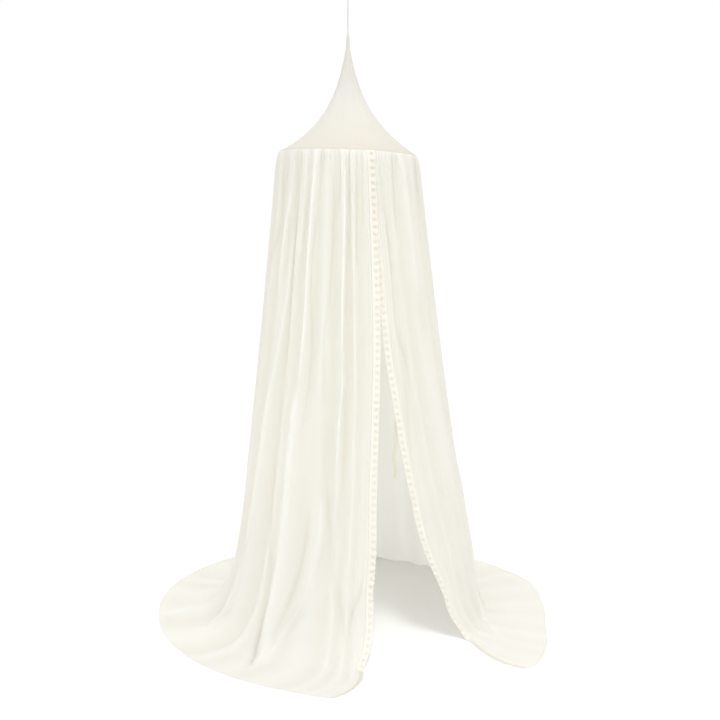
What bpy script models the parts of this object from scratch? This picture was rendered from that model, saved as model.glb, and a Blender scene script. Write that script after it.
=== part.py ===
"""Lace-trimmed bed canopy on a hoop, hung from a doubled cord.

A flat round hoop lies at the seam between a pointed crown, which runs up to the
hanging cord, and a long drape, which is gathered onto the seam, falls to the floor
and spreads there in a train. The drape is open at the front, with a lace strip
along both edges, and a short tie hangs from the right one.
Metres, +Z up, -Y to the front. Azimuths are in degrees from the front, with the
right side positive. The shapes are worked out in heights above the floor, and
every piece is then lowered, so that the origin is the inner top of the cord's
loop, where a ceiling hook bears.
"""
import math

import bmesh
import bpy
import numpy as np

# Heights above the floor
HANG_HEIGHT = 2.310
HOOP_HEIGHT = 1.716
CROWN_TOP = 2.144

# Cloth, and the gaps between pieces that touch; a seam is wider where the cloth bends
# onto the floor
CLOTH = 0.002
GAP = 0.0003
SEAM_GAP = 0.0005
FLOOR_SEAM_GAP = 0.0010

# Hoop
HOOP_RADIUS = 0.2485
HOOP_TUBE = 0.004
HOOP_TILT = 1.9
ROUND_STEPS = 48
TUBE_STEPS = 8

# Crown: above the wrap over the hoop its radius falls off exponentially with the rise
CROWN_WRAP = 60.0
CROWN_FALL = 0.150
CROWN_TAPER = 0.036
CONE_RISE = 0.380
SLEEVE_TOP_RADIUS = 0.0043
WRAP_STEPS = 3
CONE_STEPS = 9

# Drape wall: its radius grows with the drop below the hoop, and it leans to the right
PUFF = 0.0065
PUFF_DROP = 0.030
WALL_SLOPE = 0.105
WALL_CURVE = 0.016
WALL_LEAN = 0.0125
LEAN_POWER = 1.3

# Flare onto the floor: widest at the left front, and nearly upright at the right
FLARE_TURN = -70.0
FLARE_START = 0.20
FLARE_START_SWING = 0.11
FLARE_REACH = 0.075
FLARE_REACH_SWING = 0.060
FLARE_FALL_HANDLE = 0.55
FLARE_FLOOR_HANDLE = 0.75

# Rows of the drape: heights on the wall, then parts of the flare and of the train
WALL_HEIGHTS = (1.7155, 1.700, 1.670, 1.610, 1.510, 1.380, 1.230, 1.060, 0.880, 0.690, 0.500, 0.340)
FLARE_PARTS = (0.12, 0.36, 0.60, 0.82, 1.0)
TRAIN_PARTS = (0.30, 0.65, 1.0)

# Free edges of the lace down the wall
EDGE_COLUMNS = ("height", "left", "right")
EDGES = (
    (1.716, 21.0, 14.8),
    (1.450, 20.6, 17.5),
    (1.174, 19.3, 19.6),
    (1.000, 17.8, 21.3),
    (0.860, 16.0, 23.9),
    (0.700, 13.9, 26.6),
    (0.530, 12.0, 30.0),
    (0.330, 10.4, 35.3),
    (0.200, 8.6, 43.6),
    (0.080, 6.4, 48.9),
    (0.000, 3.3, 49.5),
)
HEM_LEFT = -2.8
HEM_RIGHT = 46.4
TRAIN_BOW = 2.2
TRAIN_BOW_RIGHT = -3.0
HEM_PULL_REACH = 50.0

# Hem on the floor, from the left front corner round the back to the right one
HEM_COLUMNS = ("azimuth", "radius")
HEM = (
    (0.0, 0.766),
    (-17.0, 0.735),
    (-47.0, 0.719),
    (-79.0, 0.727),
    (-110.0, 0.753),
    (-150.0, 0.745),
    (-200.0, 0.752),
    (-240.0, 0.764),
    (-251.0, 0.782),
    (-268.0, 0.760),
    (-289.0, 0.763),
    (-299.0, 0.797),
    (-306.0, 0.816),
    (-311.0, 0.824),
    (-313.6, 0.808),
)

# Valleys between the main folds, going left from the opening and round to it again
FOLD_COLUMNS = ("at_hoop", "at_foot", "depth")
LEFT_FOLDS = (
    (9.0, -2.0, 0.007),
    (1.5, -7.0, 0.010),
    (-8.5, -13.0, 0.010),
    (-20.0, -28.0, 0.009),
    (-31.0, -42.0, 0.008),
    (-41.0, -50.0, 0.016),
    (-57.0, -76.0, 0.012),
    (-73.0, -93.0, 0.009),
)
RIGHT_FOLDS = (
    (-280.0, -264.0, 0.008),
    (-296.0, -277.0, 0.008),
    (-310.0, -289.0, 0.007),
    (-322.0, -298.0, 0.007),
    (-332.0, -304.0, 0.006),
)
BACK_FOLDS = 12
BACK_FOLD_DEPTH = 0.010
BACK_FOLD_SWAY = 0.22
FOLD_STEPS = 4
FOLD_PROGRESS = 1.8
FOLD_GROWTH = 0.06
HUMP_SHARE = 0.8
HUMP_FADE = 1.5

# Lace trim: one eyelet and one scallop in each repeat
LACE_WIDTH = 0.025
LACE_REPEAT = 0.025
LACE_LIFT = 0.005
SCALLOP_DEPTH = 0.0035
EYELET_LENGTH = 0.0064
EYELET_WIDTH = 0.0058

# Tie, sewn behind the free edge of the right lace
TIE_HEIGHT = 0.790
TIE_LENGTH = 0.200
TIE_WIDTH = 0.010
TIE_POINT = 0.006
TIE_STEPS = 8
TIE_SWAY = 0.003
TIE_TURNS = 1.3

# Hanging cord, doubled: side and height of its right strand, from inside the sleeve to
# the top of the loop
STRAND = 0.0028
STRAND_SIDE = 0.00155
LOOP_SIDE = 0.0078
CORD_SPACING = 0.0065
CORD_HALF = (
    (STRAND_SIDE, 2.129),
    (STRAND_SIDE, 2.160),
    (STRAND_SIDE, 2.200),
    (0.0016, 2.235),
    (0.0021, 2.260),
    (0.0042, 2.280),
    (0.0068, 2.293),
    (LOOP_SIDE, 2.3036),
    (0.0055, 2.3091),
)
CORD_TOP = (0.0, HANG_HEIGHT + STRAND / 2)


def column(table, names, name):
    """One named column of a table, as an array."""
    return np.array([row[names.index(name)] for row in table])


def smooth(at, knots, values):
    """Cubic curve through the points (knots, values), read at the given places.

    Each inner slope is that of the chord between the two neighbours, and past the
    ends the end values hold.
    """
    order = np.argsort(knots)
    knots, values = np.asarray(knots, float)[order], np.asarray(values, float)[order]
    slopes = np.gradient(values, knots)
    at = np.clip(at, knots[0], knots[-1])
    span = np.clip(np.searchsorted(knots, at, side="right") - 1, 0, len(knots) - 2)
    width = knots[span + 1] - knots[span]
    part = (at - knots[span]) / width
    rise = values[span + 1] - values[span]
    start, end = slopes[span] * width, slopes[span + 1] * width
    return (values[span] + part * start + part ** 2 * (3 * rise - 2 * start - end)
            + part ** 3 * (start + end - 2 * rise))


def add_object(name, vertices, faces, material, rounded=True):
    """Make a mesh object, lowered from its height above the floor into the frame."""
    mesh = bpy.data.meshes.new(name)
    mesh.from_pydata([tuple(map(float, v)) for v in vertices], [], faces)
    mesh.materials.append(material)
    if rounded:
        mesh.shade_smooth()
    piece = bpy.data.objects.new(name, mesh)
    bpy.context.collection.objects.link(piece)
    piece.location.z = -HANG_HEIGHT
    return piece


def grid_faces(rows, columns, closed=False):
    """Quads of a grid of points, row by row; a closed grid joins its last column to its first."""
    spans = columns if closed else columns - 1
    return [(r * columns + c, r * columns + (c + 1) % columns,
             (r + 1) * columns + (c + 1) % columns, (r + 1) * columns + c)
            for r in range(rows - 1) for c in range(spans)]


def give_thickness(piece, thickness=CLOTH):
    """Turn a surface into a sheet, half the thickness to each side."""
    solid = piece.modifiers.new("Thickness", "SOLIDIFY")
    solid.thickness = thickness
    solid.offset = 0.0
    solid.use_even_offset = True


def make_material(name, color, roughness, metallic=0.0):
    material = bpy.data.materials.new(name)
    material.use_nodes = True
    shader = material.node_tree.nodes["Principled BSDF"]
    shader.inputs["Base Color"].default_value = (*color, 1.0)
    shader.inputs["Roughness"].default_value = roughness
    shader.inputs["Metallic"].default_value = metallic
    return material


def tilt(x):
    """Rise of the hoop's tilted plane above its middle, lower at the right."""
    return -math.tan(math.radians(HOOP_TILT)) * x


def make_hoop(material):
    """Round hoop of bent tube, in a plane that is a little lower at the right."""
    turn = 2 * math.pi * np.arange(ROUND_STEPS) / ROUND_STEPS
    bead = 2 * math.pi * np.arange(TUBE_STEPS) / TUBE_STEPS
    radius = HOOP_RADIUS + HOOP_TUBE * np.cos(bead)[:, None]
    x, y = radius * np.sin(turn), -radius * np.cos(turn)
    z = HOOP_HEIGHT + HOOP_TUBE * np.sin(bead)[:, None] + tilt(x)
    vertices = np.stack([x, y, z], axis=-1).reshape(-1, 3)
    faces = [face[::-1] for face in grid_faces(TUBE_STEPS, ROUND_STEPS, closed=True)]
    last = (TUBE_STEPS - 1) * ROUND_STEPS
    faces += [(last + (c + 1) % ROUND_STEPS, last + c, c, (c + 1) % ROUND_STEPS)
              for c in range(ROUND_STEPS)]
    piece = add_object("hoop", vertices, faces, material)
    turn_outwards(piece)


def turn_outwards(piece):
    """Make all faces of a closed mesh point outwards."""
    shape = bmesh.new()
    shape.from_mesh(piece.data)
    bmesh.ops.recalc_face_normals(shape, faces=shape.faces)
    shape.to_mesh(piece.data)
    shape.free()


def crown_profile():
    """Radius and height of the crown's cloth, from its seam on the hoop to its top.

    It wraps over the hoop's tube. Its radius then follows base * exp(-rise / fall) -
    taper * rise, down to the foot of the narrow sleeve that holds the cord.
    """
    wrap = HOOP_TUBE + GAP + CLOTH / 2
    angles = np.radians(np.linspace(0.0, CROWN_WRAP, WRAP_STEPS + 1))
    wrap_radius = HOOP_RADIUS + wrap * np.cos(angles)
    wrap_height = HOOP_HEIGHT + wrap * np.sin(angles)
    rise = np.linspace(0.0, CONE_RISE, CONE_STEPS + 1)[1:]
    cone_radius = wrap_radius[-1] * np.exp(-rise / CROWN_FALL) - CROWN_TAPER * rise
    radius = np.concatenate([wrap_radius, cone_radius, [SLEEVE_TOP_RADIUS]])
    height = np.concatenate([wrap_height, wrap_height[-1] + rise, [CROWN_TOP]])
    return radius, height


def make_crown(material):
    """Crown sheet, turned about the upright axis and tilted with the hoop at its foot."""
    radius, height = crown_profile()
    turn = 2 * math.pi * np.arange(ROUND_STEPS) / ROUND_STEPS
    x, y = radius[:, None] * np.sin(turn), -radius[:, None] * np.cos(turn)
    tilted = np.minimum(1.0, radius / radius[WRAP_STEPS])[:, None] ** 2
    z = height[:, None] + tilt(x) * tilted
    vertices = np.stack([x, y, z], axis=-1).reshape(-1, 3)
    faces = grid_faces(len(radius), ROUND_STEPS, closed=True)
    give_thickness(add_object("crown", vertices, faces, material))


def wall_radius(height):
    """Radius of the drape over the ridges of its folds, at a height on the wall."""
    drop = HOOP_HEIGHT - height
    seam = HOOP_RADIUS + HOOP_TUBE + GAP + CLOTH / 2
    return (seam + PUFF * (1 - np.exp(-drop / PUFF_DROP))
            + WALL_SLOPE * drop + WALL_CURVE * drop ** 2)


def fold_table():
    """Places at hoop and foot, and depths, of all valleys in their order round the cloth.

    Those at the back are spaced evenly between the tables' last and first rows, with
    a sway that makes them uneven.
    """
    left, right = LEFT_FOLDS[-1], RIGHT_FOLDS[0]
    steps = np.arange(1, BACK_FOLDS + 1)
    parts = (steps + BACK_FOLD_SWAY * np.sin(2.4 * steps)) / (BACK_FOLDS + 1)
    depths = BACK_FOLD_DEPTH * (1 + 0.3 * np.cos(1.9 * steps))
    back = [(left[0] + part * (right[0] - left[0]), left[1] + part * (right[1] - left[1]), depth)
            for part, depth in zip(parts, depths)]
    table = [*LEFT_FOLDS, *back, *RIGHT_FOLDS]
    return [column(table, FOLD_COLUMNS, name) for name in FOLD_COLUMNS]


def free_edges(height):
    """Azimuths of the two free edges of the lace, at a height on the wall or flare."""
    heights = column(EDGES, EDGE_COLUMNS, "height")
    left = smooth(height, heights, column(EDGES, EDGE_COLUMNS, "left"))
    right = smooth(height, heights, column(EDGES, EDGE_COLUMNS, "right")) - 360.0
    return float(left), float(right)


def fold_ridge():
    """Height of each column in its fold, 0 in a valley and 1 on a ridge, and its depth."""
    depth = fold_table()[2]
    place = np.arange(FOLD_STEPS * (len(depth) + 1) + 1) / FOLD_STEPS
    ridge = np.abs(np.sin(math.pi * place))
    return ridge, np.interp(place, np.arange(len(depth) + 2), [0.0, *depth, 0.0])


def column_azimuths(left, right, progress, pull=0.0):
    """Azimuth of every column between the two edges of the cloth.

    The folds have moved by a given part of the way from their places at the hoop to
    those at the foot, and a pull of the left edge fades away round the cloth.
    """
    at_hoop, at_foot, _ = fold_table()
    folds = at_hoop + (at_foot - at_hoop) * progress
    folds += pull * np.exp((folds - left) / HEM_PULL_REACH)
    anchors = [left, *folds, right]
    place = np.arange(FOLD_STEPS * (len(folds) + 1) + 1) / FOLD_STEPS
    return np.interp(place, np.arange(len(anchors)), anchors)


def lean(height):
    """Shift of the wall's middle to the right at a height."""
    return WALL_LEAN * (HOOP_HEIGHT - height) ** LEAN_POWER


def wall_row(azimuth, height):
    """Radius, height, outward normal and side shift of the plain wall at one height."""
    drop = HOOP_HEIGHT - height
    slope = PUFF / PUFF_DROP * math.exp(-drop / PUFF_DROP) + WALL_SLOPE + 2 * WALL_CURVE * drop
    radius = np.full_like(azimuth, wall_radius(height))
    rise = tilt(radius * np.sin(np.radians(azimuth))) * (height / HOOP_HEIGHT) ** 2
    length = math.hypot(1.0, slope)
    normal = (np.full_like(azimuth, 1 / length), np.full_like(azimuth, slope / length))
    return radius, height + rise, normal, lean(height)


def flare_row(azimuth, part):
    """The same for a part of the flare, a cubic curve from the wall onto the floor."""
    swing = np.cos(np.radians(azimuth - FLARE_TURN))
    start = FLARE_START + FLARE_START_SWING * swing
    reach = FLARE_REACH + FLARE_REACH_SWING * swing
    slope = WALL_SLOPE + 2 * WALL_CURVE * (HOOP_HEIGHT - start)
    foot = wall_radius(0.0) + reach
    handle = start * FLARE_FALL_HANDLE
    radii = (wall_radius(start), wall_radius(start) + slope * handle,
             foot - reach * FLARE_FLOOR_HANDLE, foot)
    heights = (start, start - handle, np.zeros_like(start), np.zeros_like(start))
    weights = ((1 - part) ** 3, 3 * part * (1 - part) ** 2, 3 * part ** 2 * (1 - part), part ** 3)
    pulls = ((1 - part) ** 2, 2 * part * (1 - part), part ** 2)
    radius = sum(w * r for w, r in zip(weights, radii))
    height = sum(w * h for w, h in zip(weights, heights))
    along = sum(p * (b - a) for p, a, b in zip(pulls, radii, radii[1:]))
    down = sum(p * (b - a) for p, a, b in zip(pulls, heights, heights[1:]))
    length = np.hypot(along, down)
    return radius, height, (-down / length, along / length), lean(height)


def hem_radius(azimuth):
    return smooth(azimuth, column(HEM, HEM_COLUMNS, "azimuth"), column(HEM, HEM_COLUMNS, "radius"))


def train_row(azimuth, part):
    """The same for a part of the train, which lies flat between foot and hem."""
    foot, height, normal, shift = flare_row(azimuth, 1.0)
    radius = foot + part * (hem_radius(azimuth) - foot)
    return radius, height, normal, shift * (1 - part)


def drape_rows():
    """All rows of the drape, from seam to hem: kind, place, height and free edges.

    The height of a row of the flare is the one at which its edges and folds are read.
    """
    rows = [("wall", height, height, *free_edges(height)) for height in WALL_HEIGHTS]
    for part in FLARE_PARTS:
        height = FLARE_START * (1 - part) ** 2 * (1 + 2 * part)
        rows.append(("flare", part, height, *free_edges(height)))
    foot_left, foot_right = free_edges(0.0)
    for part in TRAIN_PARTS:
        bow = 4 * part * (1 - part)
        left = foot_left + part * (HEM_LEFT - foot_left) + TRAIN_BOW * bow
        right = foot_right + part * (HEM_RIGHT - 360.0 - foot_right) + TRAIN_BOW_RIGHT * bow
        rows.append(("train", part, 0.0, left, right))
    return rows


def place_row(kind, place, azimuth, ridge, depth):
    """Points of one row, in the middle of the cloth.

    Valleys lie inside the wall, ridges stand up from the floor, and the cloth's
    underside comes down to the floor at the foot.
    """
    if kind == "wall":
        radius, height, normal, shift = wall_row(azimuth, place)
        grown = 1 - math.exp(-(HOOP_HEIGHT - place) / FOLD_GROWTH)
        offset = depth * grown * (ridge - 1)
    elif kind == "flare":
        radius, height, normal, shift = flare_row(azimuth, place)
        height = height + place * CLOTH / 2
        offset = depth * ((1 - place) * (ridge - 1) + place * HUMP_SHARE * ridge)
    else:
        radius, height, normal, shift = train_row(azimuth, place)
        height = height + CLOTH / 2
        offset = depth * ridge * HUMP_SHARE * (1 - place) ** HUMP_FADE
    out = radius + offset * normal[0]
    angle = np.radians(azimuth)
    return np.stack([shift + out * np.sin(angle), -out * np.cos(angle),
                     height + offset * normal[1]], axis=-1)


def drape_grids():
    """Grids of points of the drape, of the left lace and of the right lace.

    A lace grid has two columns: the sewn side beside the cloth's edge, and the free
    edge, which stands a little outside the cloth at the left and inside it at the
    right. The right lace starts one row down, below the hoop.
    """
    ridge, depth = fold_ridge()
    foot_left, _ = free_edges(0.0)
    flat = np.zeros(2)
    cloth, left_lace, right_lace = [], [], []
    for kind, place, height, left, right in drape_rows():
        row = {"wall": wall_row, "flare": flare_row, "train": train_row}[kind]
        radius = float(row(np.array([left]), place)[0][0])
        seam = SEAM_GAP if kind == "wall" else FLOOR_SEAM_GAP
        width, gap = math.degrees(LACE_WIDTH / radius), math.degrees(seam / radius)
        progress = ((HOOP_HEIGHT - height) / HOOP_HEIGHT) ** FOLD_PROGRESS
        lift = LACE_LIFT if kind == "wall" else 0.0
        pull = left - foot_left if kind == "train" else 0.0
        azimuth = column_azimuths(left - width, right + width, progress, pull)
        cloth.append(place_row(kind, place, azimuth, ridge, depth))
        for lace, free, sewn, side in ((left_lace, left, left - width + gap, 1.0),
                                       (right_lace, right, right + width - gap, -1.0)):
            strip = place_row(kind, place, np.array([sewn, free]), flat, flat)
            angle = math.radians(free)
            strip[1] += side * lift * np.array([math.sin(angle), -math.cos(angle), 0.0])
            lace.append(strip)
    return np.array(cloth), np.array(left_lace), np.array(right_lace[1:])


def make_drape(grid, material):
    """Gathered drape and its train, one sheet between the two lace strips."""
    rows, columns, _ = grid.shape
    piece = add_object("drape", grid.reshape(-1, 3), grid_faces(rows, columns), material)
    give_thickness(piece)


def make_lace(name, grid, material):
    """Lace strip along one edge, with a scalloped free edge and a row of cut eyelets.

    Each stretch between two rows of the grid is shared out into whole repeats. A
    repeat has its two sewn corners, two dips and the tip of its scallop, and the four
    corners of its eyelet.
    """
    vertices, faces = [], []

    def add_point(start, end, along, across):
        first = start[0] + (start[1] - start[0]) * across
        last = end[0] + (end[1] - end[0]) * across
        vertices.append(first + (last - first) * along)
        return len(vertices) - 1

    dip = 1 - SCALLOP_DEPTH / LACE_WIDTH
    half_width = EYELET_WIDTH / LACE_WIDTH / 2
    sewn, edge = add_point(grid[0], grid[1], 0.0, 0.0), add_point(grid[0], grid[1], 0.0, dip)
    for start, end in zip(grid, grid[1:]):
        length = float(np.linalg.norm(end[0] - start[0]))
        repeats = max(1, round(length / LACE_REPEAT))
        half_length = EYELET_LENGTH * repeats / length / 2
        for repeat in range(repeats):
            top, bottom = repeat / repeats, (repeat + 1) / repeats
            middle = (top + bottom) / 2
            reach = half_length / repeats
            tip = add_point(start, end, middle, 1.0)
            upper = add_point(start, end, middle - reach, 0.5)
            outer = add_point(start, end, middle, 0.5 + half_width)
            lower = add_point(start, end, middle + reach, 0.5)
            inner = add_point(start, end, middle, 0.5 - half_width)
            next_sewn = add_point(start, end, bottom, 0.0)
            next_edge = add_point(start, end, bottom, dip)
            faces += [(sewn, next_sewn, inner), (next_sewn, lower, inner),
                      (next_sewn, next_edge, lower), (next_edge, outer, lower),
                      (next_edge, tip, outer), (tip, edge, outer), (edge, upper, outer),
                      (edge, sewn, upper), (sewn, inner, upper)]
            sewn, edge = next_sewn, next_edge
    give_thickness(add_object(name, vertices, faces, material, rounded=False))


def make_tie(material):
    """Short ribbon that hangs behind the right lace, with a pointed free end."""
    azimuth = math.radians(free_edges(TIE_HEIGHT)[1])
    inside = LACE_LIFT + CLOTH + GAP
    radius = wall_radius(TIE_HEIGHT) - inside
    across = np.array([math.cos(azimuth), math.sin(azimuth), 0.0])
    inward = np.array([-math.sin(azimuth), math.cos(azimuth), 0.0])
    top = np.array([lean(TIE_HEIGHT), 0.0, TIE_HEIGHT]) - radius * inward
    vertices = []
    for step in range(TIE_STEPS + 1):
        part = step / TIE_STEPS
        sway = TIE_SWAY * part * math.sin(2 * math.pi * TIE_TURNS * part)
        middle = top + (TIE_SWAY * part + abs(sway)) * inward - sway * across
        for side in (-1, 1):
            drop = TIE_LENGTH * part + (TIE_POINT if step == TIE_STEPS and side > 0 else 0.0)
            vertices.append(middle + side * TIE_WIDTH / 2 * across - np.array([0.0, 0.0, drop]))
    piece = add_object("tie", vertices, grid_faces(TIE_STEPS + 1, 2), material)
    give_thickness(piece)


def cord_points():
    """Evenly spaced points along the cord: up the right strand, round the loop and down."""
    other_half = [(-side, height) for side, height in reversed(CORD_HALF)]
    route = np.array([*CORD_HALF, CORD_TOP, *other_half])
    lengths = np.concatenate([[0.0], np.cumsum(np.linalg.norm(np.diff(route, axis=0), axis=1))])
    fine = np.linspace(0.0, lengths[-1], round(lengths[-1] / CORD_SPACING) + 1)
    return [(float(smooth(s, lengths, route[:, 0])), 0.0, float(smooth(s, lengths, route[:, 1])))
            for s in fine]


def make_cord(material):
    """Doubled cord: both ends are sewn into the sleeve, and its loop goes on a hook."""
    curve = bpy.data.curves.new("hanging_cord", "CURVE")
    curve.dimensions = "3D"
    curve.bevel_depth = STRAND / 2
    curve.bevel_resolution = 2
    curve.use_fill_caps = True
    points = cord_points()
    spline = curve.splines.new("POLY")
    spline.points.add(len(points) - 1)
    for point, place in zip(spline.points, points):
        point.co = (*place, 1.0)
    curve.materials.append(material)
    piece = bpy.data.objects.new("hanging_cord", curve)
    bpy.context.collection.objects.link(piece)
    piece.location.z = -HANG_HEIGHT


for old in list(bpy.data.objects):
    bpy.data.objects.remove(old)

drape_cloth = make_material("ivory voile", (0.89, 0.87, 0.80), 0.85)
crown_cloth = make_material("ivory crown cloth", (0.86, 0.82, 0.74), 0.85)
lace_cloth = make_material("cotton lace", (0.90, 0.88, 0.81), 0.80)
cord_cotton = make_material("braided cotton", (0.88, 0.86, 0.80), 0.85)
hoop_steel = make_material("white painted steel", (0.90, 0.90, 0.88), 0.40)

drape_points, left_points, right_points = drape_grids()
make_hoop(hoop_steel)
make_crown(crown_cloth)
make_drape(drape_points, drape_cloth)
make_lace("lace_left", left_points, lace_cloth)
make_lace("lace_right", right_points, lace_cloth)
make_tie(lace_cloth)
make_cord(cord_cotton)
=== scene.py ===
"""Looks of a lace-trimmed bed canopy on its hoop, hung from a doubled cord.

Metres, +Z up, -Y to the front. Shapes are worked out in heights above the floor, with
azimuths in degrees from the front and the right side positive, and are then lowered
into the frame, whose origin is the inner top of the cord's loop.
"""

import math

import bpy
import numpy as np
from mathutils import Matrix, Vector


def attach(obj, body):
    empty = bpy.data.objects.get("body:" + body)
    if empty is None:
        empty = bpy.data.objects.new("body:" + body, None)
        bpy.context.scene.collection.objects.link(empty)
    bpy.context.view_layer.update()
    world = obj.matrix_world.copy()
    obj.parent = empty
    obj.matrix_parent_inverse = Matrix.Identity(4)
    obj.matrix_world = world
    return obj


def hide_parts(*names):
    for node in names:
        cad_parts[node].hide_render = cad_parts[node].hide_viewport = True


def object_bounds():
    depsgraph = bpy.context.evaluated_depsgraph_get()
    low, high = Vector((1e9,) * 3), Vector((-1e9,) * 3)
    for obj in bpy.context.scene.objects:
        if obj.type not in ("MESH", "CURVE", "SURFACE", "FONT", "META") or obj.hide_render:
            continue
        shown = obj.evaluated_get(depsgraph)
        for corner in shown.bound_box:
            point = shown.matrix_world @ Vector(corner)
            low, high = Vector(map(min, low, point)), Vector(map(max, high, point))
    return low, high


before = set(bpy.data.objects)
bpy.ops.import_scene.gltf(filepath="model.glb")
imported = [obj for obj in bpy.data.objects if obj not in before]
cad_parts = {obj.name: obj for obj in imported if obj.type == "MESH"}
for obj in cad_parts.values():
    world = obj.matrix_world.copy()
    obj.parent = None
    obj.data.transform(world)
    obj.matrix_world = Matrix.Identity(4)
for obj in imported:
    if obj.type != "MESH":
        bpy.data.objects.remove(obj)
cad_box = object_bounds()
floor_z = cad_box[0][2]


# Camera. It stands 3.5 m in front of the canopy, at the height of an adult's eyes, and
# looks slightly down, as in the photograph.
CAMERA_PLACE = (0.0437, -3.546, 1.441)
CAMERA_PITCH = 7.72
CAMERA_LENS = 47.5
CAMERA_SENSOR = 36.0

camera = bpy.data.objects.new("camera", bpy.data.cameras.new("camera"))
bpy.context.collection.objects.link(camera)
camera.data.sensor_width = CAMERA_SENSOR
camera.data.lens = CAMERA_LENS
camera.location = (CAMERA_PLACE[0], CAMERA_PLACE[1], CAMERA_PLACE[2] + floor_z)
camera.rotation_euler = (math.radians(90 - CAMERA_PITCH), 0.0, 0.0)
bpy.context.scene.camera = camera


# Hanging cord. A thin twisted cotton cord, doubled, both ends sewn into the sleeve at
# the top of the crown; its loop goes on a hook above the photograph's edge.
STRAND = 0.0028
STRAND_SIDE = 0.00155
LOOP_SIDE = 0.0078
# One half of the cord, from the sleeve up: distance from the middle, height
CORD_HALF = (
    (STRAND_SIDE, 2.129),
    (STRAND_SIDE, 2.160),
    (STRAND_SIDE, 2.200),
    (0.0016, 2.235),
    (0.0021, 2.260),
    (0.0042, 2.280),
    (0.0068, 2.293),
    (LOOP_SIDE, 2.3036),
    (0.0055, 2.3091),
)
CORD_TOP = (0.0, STRAND / 2 - floor_z)
CORD_POINTS = 160
CORD_COLOR = (0.62, 0.615, 0.565)
CORD_SHADE = (0.53, 0.525, 0.475)
# Bands of the twist: pitch, slant, height in the bump
TWIST_PITCH = 0.0042
TWIST_SLANT = 1.6
TWIST_RELIEF = 0.0004


def smooth(at, knots, values):
    """Cubic curve through the points (knots, values), read at the given places.

    The slope at an inner point is that of the parabola through it and its neighbours,
    and at an end that of the last chord. Past the ends the end values hold.
    """
    order = np.argsort(knots)
    knots, values = np.asarray(knots, float)[order], np.asarray(values, float)[order]
    slopes = np.gradient(values, knots)
    at = np.clip(at, knots[0], knots[-1])
    span = np.clip(np.searchsorted(knots, at, side="right") - 1, 0, len(knots) - 2)
    width = knots[span + 1] - knots[span]
    part = (at - knots[span]) / width
    rise = values[span + 1] - values[span]
    start, end = slopes[span] * width, slopes[span + 1] * width
    return (values[span] + part * start + part ** 2 * (3 * rise - 2 * start - end)
            + part ** 3 * (start + end - 2 * rise))


class Value:
    """A socket of a material's nodes; sums and products of values add Math nodes."""

    def __init__(self, tree, socket):
        self.tree, self.socket = tree, socket

    def node(self, kind, inputs, output=0, **settings):
        """Add a node of any kind: first its settings, then its sockets' values or links."""
        made = self.tree.nodes.new(kind)
        for name, value in settings.items():
            setattr(made, name, value)
        for name, value in inputs.items():
            if isinstance(value, Value):
                self.tree.links.new(value.socket, made.inputs[name])
            else:
                made.inputs[name].default_value = value
        return Value(self.tree, made.outputs[output])

    def math(self, operation, *values):
        """The result of a Math node on some values."""
        return self.node("ShaderNodeMath", dict(enumerate(values)), operation=operation)

    def __add__(self, other):
        return self.math("ADD", self, other)

    def __mul__(self, other):
        return self.math("MULTIPLY", self, other)

    def mixed(self, first, second):
        """Colour between two others, with this value as the share of the second."""
        colors = {6: (*first, 1.0), 7: (*second, 1.0), 0: self}
        return self.node("ShaderNodeMix", colors, output=2, data_type="RGBA")


def start_material(name):
    """A new material: itself, its shader, its output node and its Object coordinates."""
    material = bpy.data.materials.new(name)
    material.use_nodes = True
    tree = material.node_tree
    place = Value(tree, tree.nodes.new("ShaderNodeTexCoord").outputs["Object"])
    return material, tree.nodes["Principled BSDF"], tree.nodes["Material Output"], place


def cord_material():
    """Cotton strands twisted round each other, as slanting bands along the cord."""
    material, shader, _, place = start_material("twisted_cotton")
    apart = place.node("ShaderNodeSeparateXYZ", {0: place})
    side, height = apart, Value(apart.tree, apart.socket.node.outputs[2])
    turns = (height + side * TWIST_SLANT) * (2 * math.pi / TWIST_PITCH)
    band = turns.math("SINE", turns) * 0.5 + 0.5
    shader.inputs["Roughness"].default_value = 0.9
    bump = band.node("ShaderNodeBump",
                     {"Height": band, "Distance": TWIST_RELIEF, "Strength": 0.6})
    tint = band.mixed(CORD_SHADE, CORD_COLOR)
    material.node_tree.links.new(tint.socket, shader.inputs["Base Color"])
    material.node_tree.links.new(bump.socket, shader.inputs["Normal"])
    return material


cord_ends = [(-side, height) for side, height in reversed(CORD_HALF)]
cord_route = np.array([*CORD_HALF, CORD_TOP, *cord_ends])
cord_steps = np.linalg.norm(np.diff(cord_route, axis=0), axis=1)
cord_along = np.concatenate([[0.0], np.cumsum(cord_steps)])
cord_fine = np.linspace(0.0, cord_along[-1], CORD_POINTS)

cord_curve = bpy.data.curves.new("cord_strand", "CURVE")
cord_curve.dimensions = "3D"
cord_curve.bevel_depth = STRAND / 2
cord_curve.bevel_resolution = 4
cord_curve.use_fill_caps = True
cord_line = cord_curve.splines.new("POLY")
cord_line.points.add(CORD_POINTS - 1)
cord_places = np.stack([smooth(cord_fine, cord_along, cord_route[:, 0]), np.zeros(CORD_POINTS),
                        smooth(cord_fine, cord_along, cord_route[:, 1]) + floor_z,
                        np.ones(CORD_POINTS)], axis=-1)
cord_line.points.foreach_set("co", cord_places.ravel())
cord_curve.materials.append(cord_material())
cord = bpy.data.objects.new("cord_strand", cord_curve)
bpy.context.collection.objects.link(cord)
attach(cord, "root")
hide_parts("hanging_cord")


# Hoop. Thin steel tube bent to a ring and painted white; it lies inside the seam between
# crown and drape, so it shows only from underneath.
HOOP_HEIGHT = 1.716
HOOP_RADIUS = 0.2485
HOOP_TILT = 1.9
HOOP_COLOR = (0.95, 0.95, 0.93)
HOOP_SHADE = (0.90, 0.90, 0.875)
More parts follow.
